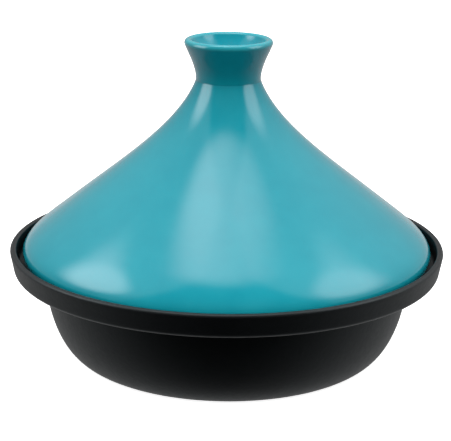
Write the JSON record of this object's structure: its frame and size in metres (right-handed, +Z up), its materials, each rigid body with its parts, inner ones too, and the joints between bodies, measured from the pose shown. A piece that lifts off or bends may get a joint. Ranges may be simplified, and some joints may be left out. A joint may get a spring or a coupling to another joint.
{
  "type": "tagine pot",
  "caption": "Tagine pot: round cast-iron base with a raised rim band and a lift-off conical glazed stoneware lid that ends in a flared open knob.",
  "frame": {"origin": "centre of the base's flat bottom, on the surface that the pot stands on", "axes": "+Z up along the pot's axis of symmetry; the pot is round, so +X and +Y are any two level directions"},
  "size_m": [0.3, 0.3, 0.22],
  "materials": {
    "black_iron": "satin black enamelled cast iron with a fine casting texture",
    "turquoise_glaze": "glossy turquoise glaze over stoneware, bare clay on the foot ring"
  },
  "bodies": {
    "base": {"cast_iron_base": "black_iron"},
    "lid": {"ceramic_lid": "turquoise_glaze"}
  },
  "joints": [
    {"name": "lid_lift", "type": "slide", "parent": "base", "child": "lid", "axis": [0, 0, 1], "range_m": [0, 0.15]}
  ]
}
